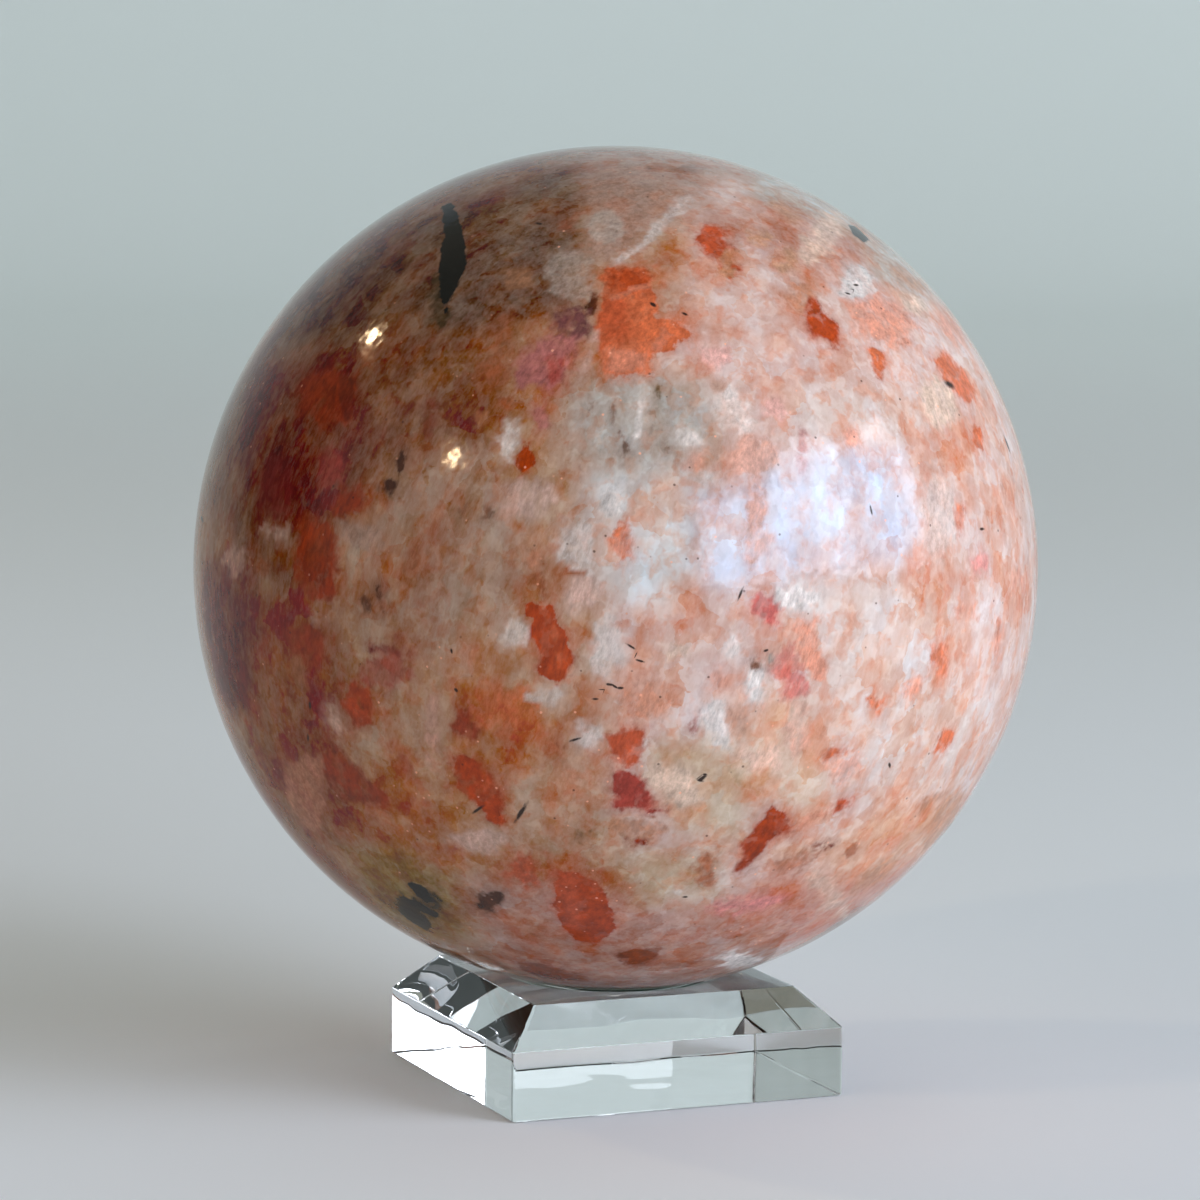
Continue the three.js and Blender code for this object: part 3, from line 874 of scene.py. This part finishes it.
# The cleavage stands nearly upright and leans a little. Patches are drawn out along it, and the fine streaks
# between its sheets much more.
grown, drawn = (
    add(
        tree,
        "ShaderNodeMapping",
        {"Vector": in_mm, "Rotation": lean, "Scale": (1.0, 1.0, longer)},
        vector_type="TEXTURE",
    )
    for lean, longer in (((0.10, 0.22, 0.0), 1.35), ((0.12, 0.30, 0.0), 2.8))
)
rough_edge = add(
    tree, "ShaderNodeTexNoise", {"Vector": in_mm, "Scale": 0.45, "Detail": 2.0, "Roughness": 0.55}
)
broken = add(
    tree,
    "ShaderNodeVectorMath",
    {0: rough_edge.outputs["Color"], 1: BREAK_UP, 2: grown},
    operation="MULTIPLY_ADD",
)
patterns = {}
for name, kind, laid, sizes in (
    ("patch", "Noise", grown, {"Scale": 0.16, "Detail": 3.0, "Roughness": 0.55}),
    ("mottle", "Noise", broken, {"Scale": 0.42, "Detail": 2.0, "Roughness": 0.55}),
    ("crystal", "Voronoi", broken, {"Scale": 0.22}),
    ("dust", "Voronoi", in_mm, {"Scale": 1.3}),
):
    pattern = add(tree, f"ShaderNodeTex{kind}", {"Vector": laid, **sizes})
    patterns[name] = [pattern.outputs[0]]
    patterns[name] += add(tree, "ShaderNodeSeparateColor", {"Color": pattern.outputs["Color"]}).outputs[:3]
streak = add(
    tree, "ShaderNodeTexNoise", {"Vector": drawn, "Scale": 1.3, "Detail": 3.0, "Roughness": 0.75}
)
patterns["streak"] = [streak.outputs["Fac"]]

# Where iron stains the body, where it is milky and where it is smoky: pattern, from, to, how laid, tint,
# how much
layers = []  # what lies over the clouds, from below: its share, its tint and how it is laid
for (name, part), low, high, blend, tint, most in (
    (("patch", 1), 0.44, 0.68, "MULTIPLY", "#ffe4d6", 1.0),
    (("patch", 2), 0.42, 0.64, "DODGE", "#3a697c", 1.0),
    (("patch", 2), 0.44, 0.62, "LIGHTEN", "#a07c62", 0.30),
    (("patch", 3), 0.42, 0.60, "SOFT_LIGHT", "#a8a6a6", 1.0),
    (("crystal", 1), 0.79, 0.84, "MULTIPLY", "#ffefe6", 1.0),
    (("crystal", 2), 0.69, 0.74, "DODGE", "#30505c", 1.0),
    (("crystal", 3), 0.75, 0.79, "BURN", "#fafafa", 1.0),
    (("mottle", 1), 0.48, 0.68, "MULTIPLY", "#ffe7dc", 1.0),
    (("mottle", 2), 0.44, 0.64, "DODGE", "#305866", 1.0),
    (("mottle", 2), 0.48, 0.62, "SOFT_LIGHT", "#cac6c3", 1.0),
    (("mottle", 3), 0.48, 0.62, "BURN", "#fafafa", 1.0),
    (("streak", 0), 0.50, 0.38, "SCREEN", "#2e302d", 1.0),
    (("streak", 0), 0.50, 0.62, "BURN", "#fafcfc", 1.0),
):
    share = add(
        tree,
        "ShaderNodeMapRange",
        {"Value": patterns[name][part], "From Min": low, "From Max": high, "To Max": most},
        interpolation_type="SMOOTHSTEP",
    )
    layers.append((share, linear(tint), blend))

ragged, streak_ragged = (
    add(tree, "ShaderNodeMath", {0: noise, 1: 0.5}, operation="SUBTRACT") for noise in (rough_edge, streak)
)
# A grain thins out on some sides, and the milk of the body veils parts of it
thinned, veiled = (
    add(
        tree,
        "ShaderNodeMapRange",
        {"Value": uneven, "From Min": low, "From Max": high, "To Min": least, "To Max": most},
        interpolation_type="SMOOTHSTEP",
    )
    for uneven, low, high, least, most in (
        (patterns["patch"][1], 0.46, 0.62, 0.1, 1.0),
        (patterns["mottle"][2], 0.46, 0.64, 1.1, 0.82),
    )
)
# Inside, a grain is uneven too, and its plates reflect more or less
inner_light = 1.0
for uneven, least, most in ((patterns["mottle"][0], 0.76, 1.24), (streak, 1.32, 0.68)):
    light = add(
        tree,
        "ShaderNodeMapRange",
        {"Value": uneven, "From Min": 0.3, "From Max": 0.7, "To Min": least, "To Max": most},
    )
    inner_light = add(tree, "ShaderNodeMath", {0: light, 1: inner_light}, operation="MULTIPLY")
for layer in ("grain", "accent"):
    tint = add(tree, "ShaderNodeAttribute", attribute_name=f"{layer}_tint").outputs["Color"]
    shape = add(tree, "ShaderNodeAttribute", attribute_name=f"{layer}_shape").outputs["Vector"]
    depth, edge, cover = add(tree, "ShaderNodeSeparateXYZ", {0: shape}).outputs
    swing = add(
        tree, "ShaderNodeMath", {0: edge, 1: RAGGED_BY_EDGE, 2: LEAST_RAGGED}, operation="MULTIPLY_ADD"
    )
    for uneven, reach in ((ragged, swing), (streak_ragged, 1.1)):
        depth = add(tree, "ShaderNodeMath", {0: uneven, 1: reach, 2: depth}, operation="MULTIPLY_ADD")
    tint = add(tree, "ShaderNodeVectorMath", {0: tint, "Scale": inner_light}, operation="SCALE")
    outer = add(tree, "ShaderNodeMath", {0: edge, 1: -1.0}, operation="MULTIPLY")
    inner = add(tree, "ShaderNodeMath", {0: edge, 1: thinned}, operation="ADD")
    cover = add(tree, "ShaderNodeMath", {0: cover, 1: veiled}, operation="MULTIPLY")
    for start, full, most in (HALO, (outer, inner, MOST_COVER)):
        share = add(
            tree,
            "ShaderNodeMapRange",
            {"Value": depth, "From Min": start, "From Max": full, "To Max": most},
            interpolation_type="SMOOTHSTEP",
        )
        laid = add(tree, "ShaderNodeMath", {0: share, 1: cover}, operation="MULTIPLY")
        layers.append((laid, tint, "MIX"))
    if layer == "grain":
        grain_share = laid

# Dust of dark ore, drawn at a quarter millimetre because the real one is finer than a render shows. Coppery
# plates lie flat in the cleavage; where they catch the light, their glints are painted as bright flecks, most
# of all in a few grains.
painted_glint_zone = add(tree, "ShaderNodeAttribute", attribute_name="glitter").outputs["Fac"]
painted_glint_chance = add(
    tree,
    "ShaderNodeMath",
    {0: painted_glint_zone, 1: GLITTER_SHARE, 2: patterns["dust"][2]},
    operation="MULTIPLY_ADD",
)
fleck = add(
    tree, "ShaderNodeMath", {0: streak_ragged, 1: 0.3, 2: patterns["dust"][0]}, operation="MULTIPLY_ADD"
)
close = add(
    tree, "ShaderNodeMapRange", {"Value": fleck, "From Min": FLECK_SIZE + FLECK_BLUR, "From Max": FLECK_SIZE}
)
# painted glints: bright peach flecks where the coppery plates catch the light, over dark ore dust
for chosen, tint in ((patterns["dust"][1], "#3a1c10"), (painted_glint_chance, "#f2a888")):
    often = add(
        tree,
        "ShaderNodeMapRange",
        {"Value": chosen, "From Min": FLECK_FREE, "From Max": FLECK_FAINT, "To Max": FLECK_COVER},
    )
    share = add(tree, "ShaderNodeMath", {0: often, 1: close}, operation="MULTIPLY")
    layers.append((share, linear(tint), "MIX"))

# Black hornblende: broad grains from their outlines, needles each from its own place
black = add(tree, "ShaderNodeAttribute", attribute_name="black_depth").outputs["Fac"]
for uneven, reach in ((ragged, 1.2), (streak_ragged, 0.9)):
    black = add(tree, "ShaderNodeMath", {0: uneven, 1: reach, 2: black}, operation="MULTIPLY_ADD")
speck_place = add(tree, "ShaderNodeAttribute", attribute_name="speck_place").outputs["Vector"]
specks = add(tree, "ShaderNodeVectorMath", {0: speck_place}, operation="LENGTH").outputs["Value"]
specks = add(tree, "ShaderNodeMath", {0: streak_ragged, 1: 1.6, 2: specks}, operation="MULTIPLY_ADD")
for depth, (start, full), tint in ((specks, SPECK_EDGE, "#2a1c18"), (black, BLACK_EDGE, "#0a0d0d")):
    share = add(
        tree,
        "ShaderNodeMapRange",
        {"Value": depth, "From Min": start, "From Max": full, "To Max": BLACK_COVER},
    )
    layers.append((share, linear(tint), "MIX"))

body = add(tree, "ShaderNodeAttribute", attribute_name="cloud_tint").outputs["Color"]
for share, tint, blend in layers:
    body = add(
        tree,
        "ShaderNodeMix",
        {"Factor": share, UNDER: body, OVER: tint},
        data_type="RGBA",
        blend_type=blend,
    ).outputs[MIXED]

# Iron-stained grains take a duller polish than the milky body
gloss = add(
    tree,
    "ShaderNodeMapRange",
    {"Value": patterns["crystal"][2], "To Min": GLOSS[0], "To Max": GLOSS[1]},
)
gloss = add(tree, "ShaderNodeMath", {0: grain_share, 1: DULLER, 2: gloss}, operation="MULTIPLY_ADD")
relief_noise = add(tree, "ShaderNodeTexNoise", {"Vector": in_mm, "Scale": 0.9, "Detail": 0.0})
relief = add(tree, "ShaderNodeBump", {"Height": relief_noise, "Strength": 0.4, "Distance": RELIEF_HEIGHT})
shader = add(
    tree,
    "ShaderNodeBsdfPrincipled",
    {
        "Base Color": body,
        "Roughness": gloss,
        "IOR": FELDSPAR_BEND,
        "Specular IOR Level": 0.28,
        "Subsurface Weight": 0.12,
        "Subsurface Radius": (1.0, 0.45, 0.28),
        "Subsurface Scale": 0.0022,
        "Normal": relief,
    },
)
add(tree, "ShaderNodeOutputMaterial", {"Surface": shader})
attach(stone, "root")
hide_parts("sunstone_sphere")

# Floor and backdrop
# One sheet of pale grey uncoated paper that lies flat under the stand and curves up far behind it. It hangs
# from above and is held by nothing else.

FLOOR_REACH = 4.5
WALL_FAR = 3.0
WALL_CURVE = 1.2
WALL_HEIGHT = 3.2
CURVE_STEPS = 24
AIR_UNDER_STAND = 0.0001  # what lies between the polished underside and the paper
GREY_FROM = -0.4  # where the paper's grey starts to change, ahead of the stand
paper_line = [(-FLOOR_REACH, -AIR_UNDER_STAND)]
for step in range(CURVE_STEPS + 1):
    angle = math.pi / 2 * step / CURVE_STEPS
    rise = WALL_CURVE * (1 - math.cos(angle)) - AIR_UNDER_STAND
    paper_line.append((WALL_FAR - WALL_CURVE + WALL_CURVE * math.sin(angle), rise))
paper_line.append((WALL_FAR, WALL_HEIGHT))
to_wall = Vector((-level_right.y, level_right.x, 0))
paper_points = []
paper_faces = []
for row, (away, height) in enumerate(paper_line):
    for aside in (-FLOOR_REACH, FLOOR_REACH):
        place = level_right * aside + to_wall * away
        paper_points.append((place.x, place.y, height))
    if row:
        paper_faces.append((2 * row - 2, 2 * row - 1, 2 * row + 1, 2 * row))
paper_mesh = bpy.data.meshes.new("paper_sweep")
paper_mesh.from_pydata(paper_points, [], paper_faces)
paper_mesh.polygons.foreach_set("use_smooth", [True] * len(paper_faces))
paper_sweep = put("paper_sweep", paper_mesh)
# Matt paper of one pale grey. Its colour ramp paints the room's light and shade on it: bluish near the
# camera, darker partway back, lighter and greenish up the wall.
paper = bpy.data.materials.new("uncoated paper, pale grey")
tree = emptied_tree(paper)
on_paper = add(tree, "ShaderNodeTexCoord").outputs["Object"]
how_far = add(
    tree, "ShaderNodeVectorMath", {0: on_paper, 1: tuple(to_wall)}, operation="DOT_PRODUCT"
).outputs["Value"]
along = add(tree, "ShaderNodeMapRange", {"Value": how_far, "From Min": GREY_FROM, "From Max": WALL_FAR})
paper_painted_light = add(tree, "ShaderNodeValToRGB", {"Fac": along})
paper_painted_light.color_ramp.interpolation = "EASE"
stops = [(0.0, "#ebf2fa"), (0.16, "#e8eef4"), (0.38, "#e1e6e8"), (0.62, "#e6edee"), (0.85, "#e4ecec")]
while len(paper_painted_light.color_ramp.elements) < len(stops):
    paper_painted_light.color_ramp.elements.new(1.0)
for element, (place, colour) in zip(paper_painted_light.color_ramp.elements, stops):
    element.position = place
    element.color = linear(colour)
shader = add(
    tree, "ShaderNodeBsdfPrincipled", {"Base Color": paper_painted_light, "Roughness": 0.9, "Specular IOR Level": 0.2}
)
add(tree, "ShaderNodeOutputMaterial", {"Surface": shader})
paper_sweep.data.materials.append(paper)

# Light
# A tall window of three panes stands to the right. The room all round is pale, with a patch of brighter wall
# low on the left. A strip of lamps out of sight lights the backdrop, a small one the paper just behind the
# stand, and two small warm lamps on the left show as glints.

ROOM_DIM = (0.062, 0.060, 0.052, 1)
ROOM_BRIGHT = (0.27, 0.28, 0.243, 1)
# Ways are given by their shares to the right, up, and back to the camera
PARTS_OF_ROOM = [  # way, cosines of the angles from which and within which it is fully there, how much
    ((0.55, 0.75, -0.35), -0.6, 0.9, 1.0),
    ((-0.857, 0.276, 0.436), 0.85, 0.93, 0.42),
]
WINDOW_DISTANCE = 3.0
WINDOW_COLOUR = (0.84, 0.89, 1.0)
PANES = [  # degrees to the right, degrees up, width and height in degrees, brightness
    (34.2, 6.5, 24.2, 22, 1.0),
    (56.3, 14, 19.6, 30, 1.2),
    (78.2, 14, 23.6, 30, 0.7),
]
PANE_RADIANCE = 7.9
STRIP_SIZES = (7.0, 0.5)
STRIP_ENERGY = 9.6
STRIP_COLOUR = (0.90, 1.0, 0.97)
STRIP_BEFORE_WALL = 1.3
STRIP_HEIGHT = 1.6
STRIP_LEAN = 0.8  # how far it is turned down, for each metre toward the wall
FLOOR_LAMP_SIZES = (0.06,)
FLOOR_LAMP_ENERGY = 0.002
FLOOR_LAMP_SPREAD = math.radians(26)
FLOOR_LAMP_ASIDE = 0.12
FLOOR_LAMP_AWAY = 0.25
FLOOR_LAMP_HEIGHT = 0.38
FLOOR_LAMP_AIM = 0.045  # how far behind the middle of the stand it points
LAMPS = [(-0.715, 0.681, -0.162), (-0.653, 0.441, 0.616)]
LAMP_DISTANCE = 1.3
LAMP_RADIUS = 0.032
LAMP_RADIANCE = 115.0
LAMP_COLOUR = (1.0, 0.72, 0.42)


def toward(right, up, back):
    """A direction given by its shares to the right, up, and back to the camera."""
    return (view_right * right + view_up * up - view_forward * back).normalized()


def shine(name, sizes, energy, colour, place, away):
    """A lamp at a place, its back turned that way: a rectangle if it has two sizes, a disk if it has one."""
    lamp = put(name, bpy.data.lights.new(name, "AREA"))
    lamp.data.shape = "RECTANGLE" if len(sizes) == 2 else "DISK"
    lamp.data.size = sizes[0]
    lamp.data.size_y = sizes[-1]
    lamp.data.energy = energy
    lamp.data.color = colour
    lamp.location = place
    lamp.rotation_mode = "QUATERNION"
    lamp.rotation_quaternion = away.to_track_quat("Z", "Y")
    lamp.visible_camera = False
    return lamp


for number, (right, up, wide, high, share) in enumerate(PANES):
    right, up, wide, high = (math.radians(angle) for angle in (right, up, wide, high))
    way = toward(math.cos(up) * math.sin(right), math.sin(up), math.cos(up) * math.cos(right))
    sizes = (2 * WINDOW_DISTANCE * math.tan(wide / 2), 2 * WINDOW_DISTANCE * math.tan(high / 2))
    energy = PANE_RADIANCE * share * math.pi * sizes[0] * sizes[1]
    shine(f"window_pane_{number}", sizes, energy, WINDOW_COLOUR, stone_centre + way * WINDOW_DISTANCE, way)

strip_place = to_wall * (WALL_FAR - STRIP_BEFORE_WALL) + Vector((0, 0, STRIP_HEIGHT))
strip_back = Vector((0, 0, STRIP_LEAN)) - to_wall
shine("backdrop_strip", STRIP_SIZES, STRIP_ENERGY, STRIP_COLOUR, strip_place, strip_back)

place = to_wall * FLOOR_LAMP_AWAY + level_right * FLOOR_LAMP_ASIDE + Vector((0, 0, FLOOR_LAMP_HEIGHT))
back = place - to_wall * FLOOR_LAMP_AIM
floor_lamp = shine("floor_lamp", FLOOR_LAMP_SIZES, FLOOR_LAMP_ENERGY, (1.0, 1.0, 1.0), place, back)
floor_lamp.data.spread = FLOOR_LAMP_SPREAD
floor_lamp.visible_glossy = False

lamp_energy = LAMP_RADIANCE * math.pi * math.pi * LAMP_RADIUS**2
for number, shares in enumerate(LAMPS):
    way = toward(*shares)
    place = stone_centre + way * LAMP_DISTANCE
    shine(f"warm_lamp_{number}", (2 * LAMP_RADIUS,), lamp_energy, LAMP_COLOUR, place, way)

room = bpy.data.worlds.new("pale room")
bpy.context.scene.world = room
tree = emptied_tree(room)
way_out = add(tree, "ShaderNodeTexCoord").outputs["Generated"]
shares_of_room = []
for shares, start, full, most in PARTS_OF_ROOM:
    way = tuple(toward(*shares))
    facing = add(tree, "ShaderNodeVectorMath", {0: way_out, 1: way}, operation="DOT_PRODUCT")
    share = add(
        tree,
        "ShaderNodeMapRange",
        {"Value": facing.outputs["Value"], "From Min": start, "From Max": full, "To Max": most},
        interpolation_type="SMOOTHSTEP",
    )
    shares_of_room.append(share)
brighter, patch = shares_of_room
lit = ROOM_DIM
for share, light, blend in ((brighter, ROOM_BRIGHT, "MIX"), (1.0, patch, "ADD")):
    lit = add(
        tree,
        "ShaderNodeMix",
        {"Factor": share, UNDER: lit, OVER: light},
        data_type="RGBA",
        blend_type=blend,
    ).outputs[MIXED]
glow = add(tree, "ShaderNodeBackground", {"Color": lit, "Strength": 1.0})
add(tree, "ShaderNodeOutputWorld", {"Surface": glow})

bpy.context.scene.view_settings.view_transform = "Standard"
